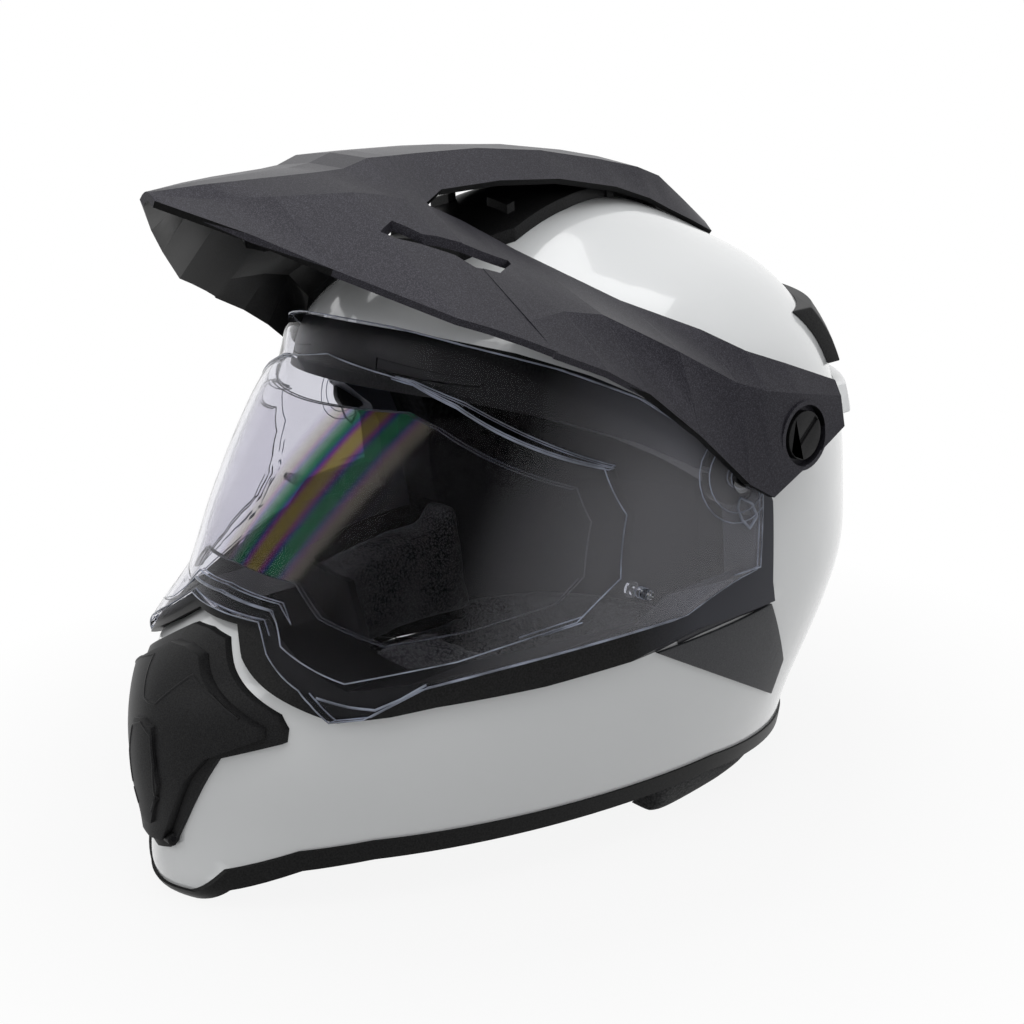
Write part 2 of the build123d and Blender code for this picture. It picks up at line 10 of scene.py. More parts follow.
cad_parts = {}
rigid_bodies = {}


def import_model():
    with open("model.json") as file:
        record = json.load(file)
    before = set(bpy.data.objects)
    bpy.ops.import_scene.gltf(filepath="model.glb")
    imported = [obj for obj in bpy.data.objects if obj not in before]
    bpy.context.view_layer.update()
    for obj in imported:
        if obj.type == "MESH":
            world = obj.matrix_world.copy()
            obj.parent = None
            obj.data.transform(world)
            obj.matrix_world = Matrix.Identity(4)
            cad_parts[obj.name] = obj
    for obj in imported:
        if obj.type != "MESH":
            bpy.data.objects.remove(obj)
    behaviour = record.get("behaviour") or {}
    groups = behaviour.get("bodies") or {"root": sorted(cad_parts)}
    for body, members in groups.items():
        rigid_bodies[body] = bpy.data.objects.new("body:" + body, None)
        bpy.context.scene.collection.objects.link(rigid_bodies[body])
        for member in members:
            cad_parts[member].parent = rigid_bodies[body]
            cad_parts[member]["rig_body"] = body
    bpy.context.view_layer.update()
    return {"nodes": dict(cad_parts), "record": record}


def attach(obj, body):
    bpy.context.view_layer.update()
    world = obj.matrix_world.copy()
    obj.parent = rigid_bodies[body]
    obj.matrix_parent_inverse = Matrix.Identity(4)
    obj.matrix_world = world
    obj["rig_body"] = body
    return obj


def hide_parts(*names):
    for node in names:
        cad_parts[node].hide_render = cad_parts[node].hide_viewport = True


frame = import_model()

bl_info = {
    "name": "Dual sport helmet finish",
    "version": (1, 0, 0),
    "blender": (4, 5, 0),
    "location": "View3D > Sidebar > Helmet",
    "description": "Materials and finished pieces for a dual sport helmet",
    "category": "Object",
}

MM = 0.001
SIDES = {"left": 1, "right": -1}

# Camera of the photograph, metres and degrees
CAMERA_PLACE = (0.48925, -0.39435, 0.31133)
CAMERA_TURN = (72.549, 2.717, 48.964)
CAMERA_LENS, SENSOR_WIDTH = 52.73, 36.0

# The stage: the floor's size and how far it lies below the helmet, metres, its grey, and the distances over
# which it fades from a faint shade to the white background; the strength of the sky's light
FLOOR_SIZE, FLOOR_DROP, FLOOR_GREY = 12.0, 0.5 * MM, 0.5
FADE_START, FADE_END, FADE_SHADE = 0.16, 0.32, 0.9
SKY_STRENGTH = 0.36
# Softboxes: place and size in metres, power in watts. All look at the helmet's middle.
LIGHT_AIM = (0, 0, 0.15)
SOFTBOXES = {"top_softbox": ((0.1, 0.1, 1.5), 1.4, 12.0),
             "front_softbox": ((-0.3, -1.4, 0.9), 0.9, 4.0),
             "rear_softbox": ((1.3, 0.9, 0.8), 0.8, 2.5)}


def linear(hex_value):
    """sRGB hex to the linear colour that shaders use."""
    parts = [int(hex_value[i:i + 2], 16) / 255 for i in (0, 2, 4)]
    return [part / 12.92 if part <= 0.04045 else ((part + 0.055) / 1.055) ** 2.4 for part in parts]


def colour_property(name, description, hex_value):
    return FloatVectorProperty(name=name, description=description, subtype="COLOR", size=3, min=0, max=1,
                               default=linear(hex_value))


class HelmetColours(bpy.types.PropertyGroup):
    shell: colour_property("Shell", "Gloss white of the outer shell", "e3e5e6")
    peak: colour_property("Peak", "Graphite of the peak", "242329")
    fleck: colour_property("Fleck", "Metal flakes in the peak", "8f8d9a")
    trim: colour_property("Trim", "Black of the vents and trims", "0d0d0f")
    side: colour_property("Side plate", "Dark grey of the side plates", "2f3034")
    rubber: colour_property("Rubber", "Seal and edge band", "080809")
    cloth: colour_property("Cloth", "Lining of the pads", "17181b")
    foam: colour_property("Foam", "Bead foam of the liner", "08080a")
    webbing: colour_property("Webbing", "Chin strap", "131315")
    steel: colour_property("Steel", "Rings and rivets", "c9cbcd")


class HelmetSizes(bpy.types.PropertyGroup):
    edge: FloatProperty(name="Edge round", description="Rounding of moulded edges", default=0.6 * MM,
                        min=0, unit="LENGTH")
    voxel: FloatProperty(name="Pad grid", description="Grid size of the pads' form", default=5 * MM,
                         min=2 * MM, unit="LENGTH")
    swell: FloatProperty(name="Pad swell", description="How far the pads may swell", default=3 * MM,
                         min=0, unit="LENGTH")


# Node trees
def add_node(tree, kind, links=None, values=None, ramp=None, **settings):
    """Adds a node with its settings, socket values and links from other nodes' outputs."""
    node = tree.nodes.new(kind)
    for name, value in settings.items():
        setattr(node, name, value)
    for name, value in (values or {}).items():
        node.inputs[name].default_value = value
    for name, source in (links or {}).items():
        tree.links.new(source, node.inputs[name])
    for step, (place, colour) in enumerate(ramp or ()):
        if step > 1:
            node.color_ramp.elements.new(place)
        node.color_ramp.elements[step].position = place
        node.color_ramp.elements[step].color = (*colour, 1)
    return node


def new_material(name):
    """Material with a lone Principled shader, its tree, its shader and the piece's own coordinates."""
    material = bpy.data.materials.new(name)
    material.use_nodes = True
    tree = material.node_tree
    place = add_node(tree, "ShaderNodeTexCoord").outputs["Object"]
    return material, tree, tree.nodes["Principled BSDF"], place


def set_sockets(shader, **values):
    for name, value in values.items():
        shader.inputs[name.replace("_", " ")].default_value = value


def mixed(colour, share, other=(1, 1, 1)):
    return [a + (b - a) * share for a, b in zip(colour, other)]


def painted_shell(colours):
    """White two-pack paint under clear lacquer on laid-up fibre: deep gloss with a faint orange peel."""
    material, tree, shader, place = new_material("lacquered_white_paint")
    base = list(colours.shell)
    peel = add_node(tree, "ShaderNodeTexNoise", {"Vector": place}, {"Scale": 1 / (5 * MM)})
    cloud = add_node(tree, "ShaderNodeTexNoise", {"Vector": place}, {"Scale": 1 / (90 * MM)})
    tint = add_node(tree, "ShaderNodeValToRGB", {"Fac": cloud.outputs["Fac"]},
                    ramp=[(0.3, mixed(base, 0.04, (0, 0, 0))), (0.7, base)])
    tree.links.new(tint.outputs["Color"], shader.inputs["Base Color"])
    set_sockets(shader, Roughness=0.16, IOR=1.5, Coat_Weight=0.7, Coat_Roughness=0.03, Coat_IOR=1.5)
    bump = add_node(tree, "ShaderNodeBump", {"Height": peel.outputs["Fac"]},
                    {"Strength": 0.4, "Distance": 0.02 * MM})
    tree.links.new(bump.outputs["Normal"], shader.inputs["Normal"])
    return material


def graphite_peak(colours):
    """Injection moulded ABS in satin graphite with metal flakes under a soft lacquer."""
    material, tree, shader, place = new_material("graphite_metallic_abs")
    base, fleck = list(colours.peak), list(colours.fleck)
    # real flakes are under 0.1 mm, drawn at 0.25 mm so that they show
    flakes = add_node(tree, "ShaderNodeTexVoronoi", {"Vector": place}, {"Scale": 1 / (0.25 * MM)})
    spread = add_node(tree, "ShaderNodeSeparateColor", {"Color": flakes.outputs["Color"]})
    shade = add_node(tree, "ShaderNodeValToRGB", {"Fac": spread.outputs["Red"]},
                     ramp=[(0.5, base), (1.0, mixed(base, 0.13, fleck))])
    tree.links.new(shade.outputs["Color"], shader.inputs["Base Color"])
    fine = add_node(tree, "ShaderNodeTexNoise", {"Vector": place}, {"Scale": 1 / (0.8 * MM)})
    rough = add_node(tree, "ShaderNodeMapRange", {"Value": fine.outputs["Fac"]},
                     {"To Min": 0.34, "To Max": 0.44})
    tree.links.new(rough.outputs["Result"], shader.inputs["Roughness"])
    set_sockets(shader, Metallic=0.3, IOR=1.5, Specular_IOR_Level=0.15)
    bump = add_node(tree, "ShaderNodeBump", {"Height": fine.outputs["Fac"]},
                    {"Strength": 0.5, "Distance": 0.02 * MM})
    tree.links.new(bump.outputs["Normal"], shader.inputs["Normal"])
    return material


# Where the seal passes into its grey rear frame, metres along the helmet
REAR_START, REAR_END = -25 * MM, 5 * MM


def moulded(name, colour, roughness, size, depth, light, specular, rear=None):
    """Injection moulded plastic or rubber with a mould grain of the given size: its hollows carry painted shade
    and its high points a painted highlight.
    A second colour can take over towards the rear."""
    material, tree, shader, place = new_material(name)
    base = list(colour)
    texture = add_node(tree, "ShaderNodeTexNoise", {"Vector": place}, {"Scale": 1 / size, "Detail": 4.0})
    cloud = add_node(tree, "ShaderNodeTexNoise", {"Vector": place}, {"Scale": 1 / (60 * MM)})
    # painted shade in the grain's hollows, painted highlight on its high points
    tint = add_node(tree, "ShaderNodeValToRGB", {"Fac": texture.outputs["Fac"]},
                    ramp=[(0.3, mixed(base, 0.1, (0, 0, 0))), (0.7, mixed(base, light * 0.3))])
    out = tint.outputs["Color"]
    if rear:
        axes = add_node(tree, "ShaderNodeSeparateXYZ", {"Vector": place})
        share = add_node(tree, "ShaderNodeMapRange", {"Value": axes.outputs["Y"]},
                         {"From Min": REAR_START, "From Max": REAR_END})
        blend = add_node(tree, "ShaderNodeMix", {"Factor": share.outputs["Result"]}, data_type="RGBA")
        tree.links.new(out, blend.inputs[6])
        blend.inputs[7].default_value = (*rear, 1)
        out = blend.outputs[2]
    tree.links.new(out, shader.inputs["Base Color"])
    rough = add_node(tree, "ShaderNodeMapRange", {"Value": cloud.outputs["Fac"]},
                     {"To Min": roughness - 0.05, "To Max": roughness + 0.05})
    tree.links.new(rough.outputs["Result"], shader.inputs["Roughness"])
    set_sockets(shader, IOR=1.5, Specular_IOR_Level=specular)
    bump = add_node(tree, "ShaderNodeBump", {"Height": texture.outputs["Fac"]},
                    {"Strength": 0.5, "Distance": depth})
    tree.links.new(bump.outputs["Normal"], shader.inputs["Normal"])
    return material


def clear_plastic(name, tint, ior, painted_reflection=0.0, painted_rainbow=0.0):
    """Clear injection moulded plastic, hard coated and see-through. Towards its ends, where it curves most,
    less light
    passes through and its pale tint shows: a painted reflection. A painted rainbow reflection, in bands like
    stress tints, can fill a leaning zone beside its middle."""
    material, tree, shader, place = new_material(name)
    cloud = add_node(tree, "ShaderNodeTexNoise", {"Vector": place}, {"Scale": 1 / (40 * MM)})
    clear = add_node(tree, "ShaderNodeValToRGB", {"Fac": cloud.outputs["Fac"]},
                     ramp=[(0.3, mixed(tint, 0.03, (0, 0, 0))), (0.7, tint)])
    colour = clear.outputs["Color"]
    axes = add_node(tree, "ShaderNodeSeparateXYZ", {"Vector": place})
    side = add_node(tree, "ShaderNodeMath", {0: axes.outputs["X"]}, operation="ABSOLUTE")
    # painted reflection towards the ends: less passes through and the pale tint shows
    solid = add_node(tree, "ShaderNodeMapRange", {"Value": side.outputs[0]},
                     {"From Min": 84 * MM, "From Max": 118 * MM, "To Min": 1.0, "To Max": 1.0 - painted_reflection})
    # a painted rainbow reflection in wavy bands like stress tints, filling a leaning zone
    if painted_rainbow:
        lean = add_node(tree, "ShaderNodeMath", {0: axes.outputs["Z"], 2: axes.outputs["X"]}, {1: -0.5},
                        operation="MULTIPLY_ADD")
        across = add_node(tree, "ShaderNodeCombineXYZ", {"X": lean.outputs[0], "Z": axes.outputs["Z"]})
        bands = add_node(tree, "ShaderNodeTexWave", {"Vector": across.outputs[0]}, bands_direction="X",
                         values={"Scale": 0.31 / (20 * MM), "Distortion": 7.0, "Detail": 1.0,
                                 "Detail Scale": 0.35})
        painted_rainbow_colours = add_node(tree, "ShaderNodeValToRGB", {"Fac": bands.outputs["Fac"]},
                         ramp=[(0.1, linear("2f7a55")), (0.35, linear("3f4c8a")), (0.6, linear("8a3f80")),
                               (0.9, linear("8f8144"))])
        share = add_node(tree, "ShaderNodeMapRange", {"Value": lean.outputs[0]},
                         {"From Min": -80 * MM, "From Max": -18 * MM})
        none, full = (0, 0, 0), (painted_rainbow,) * 3
        zone = add_node(tree, "ShaderNodeValToRGB", {"Fac": share.outputs["Result"]},
                        ramp=[(0.0, none), (0.3, full), (0.65, full), (1.0, none)])
        blend = add_node(tree, "ShaderNodeMix", {"Factor": zone.outputs["Color"]}, data_type="RGBA")
        tree.links.new(colour, blend.inputs[6])
        tree.links.new(painted_rainbow_colours.outputs["Color"], blend.inputs[7])
        colour = blend.outputs[2]
        solid = add_node(tree, "ShaderNodeMapRange", {"Value": zone.outputs["Color"]},
                         {"From Min": 0.45, "To Min": 1.0, "To Max": 0.7})
    tree.links.new(solid.outputs["Result"], shader.inputs["Transmission Weight"])
    tree.links.new(colour, shader.inputs["Base Color"])
    set_sockets(shader, Roughness=0.0, IOR=ior)
    return material


def polished_edge(name, colour):
    """Cut and polished edge of clear plastic: it gathers light and looks brighter than the pane. A pale colour
    given here is that brightness as a painted highlight.
    """
    material, tree, shader, place = new_material(name)
    base = list(colour)
    streak = add_node(tree, "ShaderNodeTexNoise", {"Vector": place}, {"Scale": 1 / (12 * MM)})
    tint = add_node(tree, "ShaderNodeValToRGB", {"Fac": streak.outputs["Fac"]},
                    ramp=[(0.35, mixed(base, 0.6, (0, 0, 0))), (0.65, base)])
    tree.links.new(tint.outputs["Color"], shader.inputs["Base Color"])
    set_sockets(shader, Roughness=0.15, IOR=1.45, Transmission_Weight=0.35)
    return material


def knit(name, colour, pitch):
    """Brushed polyester knit: soft sheen and small loops at the given pitch."""
    material, tree, shader, place = new_material(name)
    base = list(colour)
    loops = add_node(tree, "ShaderNodeTexVoronoi", {"Vector": place}, {"Scale": 1 / pitch})
    cloud = add_node(tree, "ShaderNodeTexNoise", {"Vector": place}, {"Scale": 1 / (25 * MM)})
    mix = add_node(tree, "ShaderNodeMath", {0: loops.outputs["Distance"], 1: cloud.outputs["Fac"]},
                   operation="MULTIPLY")
    tint = add_node(tree, "ShaderNodeValToRGB", {"Fac": mix.outputs[0]},
                    ramp=[(0.05, mixed(base, 0.08)), (0.45, mixed(base, 0.3, (0, 0, 0)))])
    tree.links.new(tint.outputs["Color"], shader.inputs["Base Color"])
    set_sockets(shader, Roughness=0.95, Sheen_Weight=0.12, Sheen_Roughness=0.5, IOR=1.5,
                Specular_IOR_Level=0.2)
    bump = add_node(tree, "ShaderNodeBump", {"Height": loops.outputs["Distance"]},
                    {"Strength": 0.8, "Distance": 0.25 * MM})
    tree.links.new(bump.outputs["Normal"], shader.inputs["Normal"])
    return material


def woven(name, colour, thread):
    """Woven polyester webbing: raised threads across and along."""
    material, tree, shader, place = new_material(name)
    base = list(colour)
    waves = [add_node(tree, "ShaderNodeTexWave", {"Vector": place}, {"Scale": 0.16 / thread},
                      bands_direction=direction) for direction in ("X", "Y")]
    mix = add_node(tree, "ShaderNodeMath", {0: waves[0].outputs["Fac"], 1: waves[1].outputs["Fac"]},
                   operation="MULTIPLY")
    tint = add_node(tree, "ShaderNodeValToRGB", {"Fac": mix.outputs[0]},
                    ramp=[(0.1, mixed(base, 0.3, (0, 0, 0))), (0.8, mixed(base, 0.12))])
    tree.links.new(tint.outputs["Color"], shader.inputs["Base Color"])
    set_sockets(shader, Roughness=0.8, Sheen_Weight=0.2, IOR=1.5, Specular_IOR_Level=0.3)
    bump = add_node(tree, "ShaderNodeBump", {"Height": mix.outputs[0]},
                    {"Strength": 0.8, "Distance": 0.2 * MM})
    tree.links.new(bump.outputs["Normal"], shader.inputs["Normal"])
    return material


def brushed_steel(name, colour):
    """Stamped or drawn steel: fine drawn lines in the reflections."""
    material, tree, shader, place = new_material(name)
    base = list(colour)
    lines = add_node(tree, "ShaderNodeTexNoise", {"Vector": place}, {"Scale": 1 / (0.6 * MM), "Detail": 5.0})
    tint = add_node(tree, "ShaderNodeValToRGB", {"Fac": lines.outputs["Fac"]},
                    ramp=[(0.3, mixed(base, 0.2, (0, 0, 0))), (0.7, base)])
    tree.links.new(tint.outputs["Color"], shader.inputs["Base Color"])
    set_sockets(shader, Metallic=1.0, Roughness=0.32)
    bump = add_node(tree, "ShaderNodeBump", {"Height": lines.outputs["Fac"]},
                    {"Strength": 0.4, "Distance": 0.02 * MM})
    tree.links.new(bump.outputs["Normal"], shader.inputs["Normal"])
    return material


MATERIALS = {}


def materials():
    """The finishes of the object's pieces, made once."""
    if not MATERIALS:
        colours = bpy.context.scene.helmet_colours
        MATERIALS.update({
            "shell_white": painted_shell(colours),
            "peak_graphite": graphite_peak(colours),
            "trim_black": moulded("black_moulded_abs", colours.trim, 0.42, 0.5 * MM, 0.02 * MM, 0.06, 0.1),
            "gloss_black": moulded("gloss_black_abs", colours.rubber, 0.3, 0.6 * MM, 0.005 * MM, 0.03, 0.04),
            "laminate": moulded("bare_black_laminate", colours.foam, 0.7, 1.5 * MM, 0.05 * MM, 0.05, 0.1),
            "side_grey": moulded("dark_grey_moulded_abs", colours.side, 0.5, 0.5 * MM, 0.03 * MM, 0.1, 0.3),
            "mesh_black": moulded("black_nylon_mesh", colours.trim, 0.6, 0.5 * MM, 0.02 * MM, 0.06, 0.1),
            "screw_black": moulded("black_glass_filled_nylon", colours.trim, 0.38, 0.4 * MM, 0.02 * MM, 0.06,
                                   0.12),
            "pin_smoke": clear_plastic("smoked_polycarbonate", (0.55, 0.57, 0.6), 1.45),
            "rubber": moulded("black_epdm_rubber", colours.rubber, 0.4, 0.7 * MM, 0.01 * MM, 0.04, 0.1),
            "seal_frame": moulded("seal_with_grey_frame", colours.rubber, 0.4, 0.7 * MM, 0.01 * MM, 0.04,
                                  0.12, linear("404147")),
            "foam": moulded("black_expanded_polystyrene", colours.foam, 0.9, 3.0 * MM, 0.1 * MM, 0.05, 0.05),
            "textile": knit("brushed_polyester_knit", colours.cloth, 1.2 * MM),
            "webbing": woven("woven_polyester_webbing", colours.webbing, 1.5 * MM),
            # the visor's ends carry a painted reflection, the lens a painted rainbow reflection
            "clear_visor": clear_plastic("clear_polycarbonate", (0.86, 0.86, 0.90), 1.09, painted_reflection=0.075),
            "clear_lens": clear_plastic("clear_cellulose_propionate", (0.89, 0.88, 0.91), 1.05, painted_rainbow=1.0),
            "clip_clear": clear_plastic("clear_polycarbonate_clip", (0.82, 0.84, 0.88), 1.4),
            # pale lines on the visor's edges: painted highlights
            "painted_edge_highlight": polished_edge("polycarbonate_edge_painted_highlight", linear("b4bccf")),
            "lens_bead": polished_edge("clear_silicone_bead", linear("343944")),
            "steel": brushed_steel("brushed_stainless_steel", colours.steel),
            "dark_steel": brushed_steel("blackened_steel", linear("1c1c1e")),
        })
    return MATERIALS


# Making pieces: vertices nearer than WELD are one, an edge sharper than SMOOTH_ANGLE degrees stays sharp, and
# each stretch of a bead's outline is cast at BEAD_STEPS points
WELD = 0.002 * MM
SMOOTH_ANGLE = 40
BEAD_STEPS = 8


def slot_of(node):
    return next(row["material_slot"] for row in frame["record"]["subparts"] if row["node"] == node)


def paint(piece, slot):
    piece.data.materials.clear()
    piece.data.materials.append(materials()[slot])


def select_only(piece):
    bpy.ops.object.select_all(action="DESELECT")
    piece.select_set(True)
    bpy.context.view_layer.objects.active = piece


def merged_copy(node, name, keep_shading=False):
    """New piece from a copy of a node's mesh, with its loose triangles joined up."""
    piece = bpy.data.objects.new(name, frame["nodes"][node].data.copy())
    bpy.context.scene.collection.objects.link(piece)
    select_only(piece)
    if piece.data.has_custom_normals and not keep_shading:
        bpy.ops.mesh.customdata_custom_splitnormals_clear()
    bpy.ops.object.mode_set(mode="EDIT")
    bpy.ops.mesh.select_all(action="SELECT")
    bpy.ops.mesh.remove_doubles(threshold=WELD)
    bpy.ops.object.mode_set(mode="OBJECT")
    return piece


def apply_modifier(piece, kind, **settings):
    select_only(piece)
    modifier = piece.modifiers.new(kind.lower(), kind)
    for name, value in settings.items():
        setattr(modifier, name, value)
    bpy.ops.object.modifier_apply(modifier=modifier.name)


def rounded(node, width, angle=25.0, flat=0.6, segments=3, crisp=False):
    """A moulded piece: the node's form with its edges rounded. A crisp one keeps its faces flat."""
    piece = merged_copy(node, node + "_moulded")
    bpy.ops.object.mode_set(mode="EDIT")
    bpy.ops.mesh.select_all(action="SELECT")
    bpy.ops.mesh.dissolve_limited(angle_limit=math.radians(flat))
    bpy.ops.object.mode_set(mode="OBJECT")
    apply_modifier(piece, "BEVEL", width=width, segments=segments, limit_method="ANGLE",
                   angle_limit=math.radians(angle), use_clamp_overlap=True, harden_normals=False)
    if crisp:
        bpy.ops.object.shade_smooth()
        apply_modifier(piece, "WEIGHTED_NORMAL", weight=100, keep_sharp=False)
    else:
        bpy.ops.object.shade_smooth_by_angle(angle=math.radians(SMOOTH_ANGLE))
    return finish_piece(piece, node)


def line_of(points, name, radius):
    """A thin round bead along a line of points."""
    curve = bpy.data.curves.new(name, "CURVE")
    curve.dimensions, curve.bevel_depth, curve.bevel_resolution = "3D", radius, 2
    curve.use_fill_caps = True
    spline = curve.splines.new("POLY")
    spline.points.add(len(points) - 1)
    for point, place in zip(spline.points, points):
        point.co = (*place, 1)
    piece = bpy.data.objects.new(name, curve)
    bpy.context.scene.collection.objects.link(piece)
    select_only(piece)
    bpy.ops.object.convert(target="MESH")
    bpy.ops.object.shade_smooth()
    return bpy.context.active_object


def ride_on(piece, node, look):
    """Lets an added piece ride on a node's body and a look of its own."""
    piece.data.materials.clear()
    piece.data.materials.append(materials()[look])
    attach(piece, frame["nodes"][node]["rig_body"])
    return piece


def bead_on(node, outline, direction, radius, name, look, sink):
    """A raised line on a node: the outline is cast on it along a direction, then drawn as a bead. Sink is the
    share of its radius that lies in the surface."""
    mesh = frame["nodes"][node].data
    target = BVHTree.FromPolygons([point.co for point in mesh.vertices],
                                  [face.vertices for face in mesh.polygons])
    direction = Vector(direction)
    points = []
    for first, last in zip(outline, outline[1:]):
        for step in range(BEAD_STEPS):
            start = Vector(first).lerp(Vector(last), step / BEAD_STEPS)
            place, normal, _, _ = target.ray_cast(start - direction, direction)
            if place:
                points.append(place - normal * radius * sink)
    return ride_on(line_of(points, name, radius), node, look)


def edge_lines(node, name, angle, radius, look):
    """Thin lines along the sharp edges of a node."""
    piece = merged_copy(node, name)
    bpy.ops.object.mode_set(mode="EDIT")
    bpy.ops.mesh.select_mode(type="EDGE")
    bpy.ops.mesh.select_all(action="DESELECT")
    bpy.ops.mesh.edges_select_sharp(sharpness=math.radians(angle))
    bpy.ops.mesh.select_all(action="INVERT")
    bpy.ops.mesh.delete(type="EDGE")
    bpy.ops.mesh.select_all(action="SELECT")
    bpy.ops.mesh.delete(type="ONLY_FACE")
    bpy.ops.object.mode_set(mode="OBJECT")
    bpy.ops.object.convert(target="CURVE")
    piece = bpy.context.active_object
    piece.data.bevel_depth, piece.data.bevel_resolution, piece.data.use_fill_caps = radius, 1, True
    bpy.ops.object.convert(target="MESH")
    bpy.ops.object.shade_smooth()
    return ride_on(bpy.context.active_object, node, look)


def finish_piece(piece, node):
    """Paints a piece and lets it stand for its node."""
    slot = slot_of(node)
    paint(piece, slot)
    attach(piece, frame["nodes"][node]["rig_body"])
    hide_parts(node)
    return piece


# The pads' covers: their grid as a share of the pads' grid, their smoothing, the cloth's quality, mass, air
# pressure and frames to settle, and their least height over the ground
COVER_GRID_SHARE, COVER_SMOOTH, COVER_SMOOTH_TIMES = 0.8, 0.5, 4
CLOTH_QUALITY, CLOTH_MASS, CLOTH_PRESSURE, CLOTH_FRAMES = 5, 0.3, 4.0, 20
LEAST_HEIGHT = 0.2 * MM
# Where the neck roll's solid ends at the front, where its drawn-out ends begin, metres along the helmet, and
# how far they are drawn out
ROLL_FRONT, ROLL_BEND, ROLL_REACH = 0.0231, 0.060, 18 * MM


def padded(node, swell, reach=0.0):
    """A foam pad under its cloth cover: the cover is blown up a little, so its faces crown. A reach draws the
    front ends of the neck roll forwards."""
    sizes = bpy.context.scene.helmet_sizes
    piece = merged_copy(node, node + "_cover")
    apply_modifier(piece, "REMESH", mode="VOXEL", voxel_size=sizes.voxel * COVER_GRID_SHARE)
    apply_modifier(piece, "SMOOTH", factor=COVER_SMOOTH, iterations=COVER_SMOOTH_TIMES)
    for point in piece.data.vertices:
        point.co.y -= reach * min(max((ROLL_BEND - point.co.y) / (ROLL_BEND - ROLL_FRONT), 0), 1)
    rest = [point.co.copy() for point in piece.data.vertices]
    cloth = piece.modifiers.new("cloth", "CLOTH")
    cloth.settings.quality, cloth.settings.mass = CLOTH_QUALITY, CLOTH_MASS
    cloth.settings.use_pressure, cloth.settings.uniform_pressure_force = True, CLOTH_PRESSURE
    cloth.settings.effector_weights.gravity = 0
    for frame_number in range(1, CLOTH_FRAMES + 1):
        bpy.context.scene.frame_set(frame_number)
    select_only(piece)
    bpy.ops.object.modifier_apply(modifier=cloth.name)
    bpy.context.scene.frame_set(1)
    for point, start in zip(piece.data.vertices, rest):
        move = point.co - start
        if move.length > swell:
            point.co = start + move * (swell / move.length)
        point.co.z = max(point.co.z, LEAST_HEIGHT)
    apply_modifier(piece, "SUBSURF", levels=1, render_levels=1)
    bpy.ops.object.shade_smooth()
    finish_piece(piece, node)
    return piece


# A point inside the shell that every part of its inner face looks towards, metres
SHELL_MIDDLE = (0.0, 0.0, 0.13)


class HELMET_OT_shell(bpy.types.Operator):
    """Paint the outer shell, bare laminate inside, and finish its rear trims"""
    bl_idname = "helmet.shell"
    bl_label = "Shell"

    def execute(self, context):
        shell = merged_copy("outer_shell", "shell_painted", keep_shading=True)
        finish_piece(shell, "outer_shell")
        shell.data.materials.append(materials()["laminate"])
        middle = Vector(SHELL_MIDDLE)
        for face in shell.data.polygons:
            if face.normal.dot(face.center - middle) < 0:
                face.material_index = 1
        for node in ("rear_exhaust_upper", "rear_exhaust_lower"):
            rounded(node, context.scene.helmet_sizes.edge)
        return {"FINISHED"}


# The peak: its edges have PEAK_EDGE times the usual round where the facets turn by FACET_ANGLE degrees or more,
# and faces within FLAT_ANGLE degrees are one facet. For each face, outwards is sideways as far as the face
# lies and PEAK_UP metres up, and a face that turns away from that past INSIDE_LIMIT is on the inside.
PEAK_EDGE, FACET_ANGLE, FLAT_ANGLE = 2.0, 6.0, 0.3
PEAK_UP, INSIDE_LIMIT = 0.15, -0.02


class HELMET_OT_peak(bpy.types.Operator):
    """Make the faceted peak, graphite outside and black inside"""
    bl_idname = "helmet.peak"
    bl_label = "Peak"

    def execute(self, context):
        peak = rounded("peak", context.scene.helmet_sizes.edge * PEAK_EDGE, angle=FACET_ANGLE,
                       flat=FLAT_ANGLE, crisp=True)
        peak.data.materials.append(materials()["gloss_black"])
        for face in peak.data.polygons:
            outward = Vector((face.center.x, 0, PEAK_UP))
            if face.normal.dot(outward) < INSIDE_LIMIT:
                face.material_index = 1
        return {"FINISHED"}


# Raised lines on the chin vent's cover, metres across and up, their radius and how deep they sink
COVER_PANEL = ((0.0, 0.0795), (0.0045, 0.080), (0.0147, 0.0913), (0.0277, 0.0863), (0.041, 0.0788))
COVER_KEEL = ((0.0, 0.0725), (0.0071, 0.0694), (0.0092, 0.0583), (0.0084, 0.0443), (0.0045, 0.037))
COVER_RADIUS, COVER_SINK = 0.8 * MM, 0.6
# Strip between the seal and the side plate, metres along and up, its radius, how deep it sinks, and how far
# out its points lie before they are cast on the shell
PLATE_SEAM = ((-0.0123, 0.0862), (-0.0015, 0.0885), (0.0078, 0.0902), (0.0176, 0.0913), (0.0283, 0.0921),
              (0.0369, 0.0920), (0.0450, 0.0918))
STRIP_RADIUS, STRIP_SINK, STRIP_OUT = 2.4 * MM, 0.7, 0.1
# Small moulded pieces have this share of the usual edge round
SMALL_EDGE_SHARE = 0.6


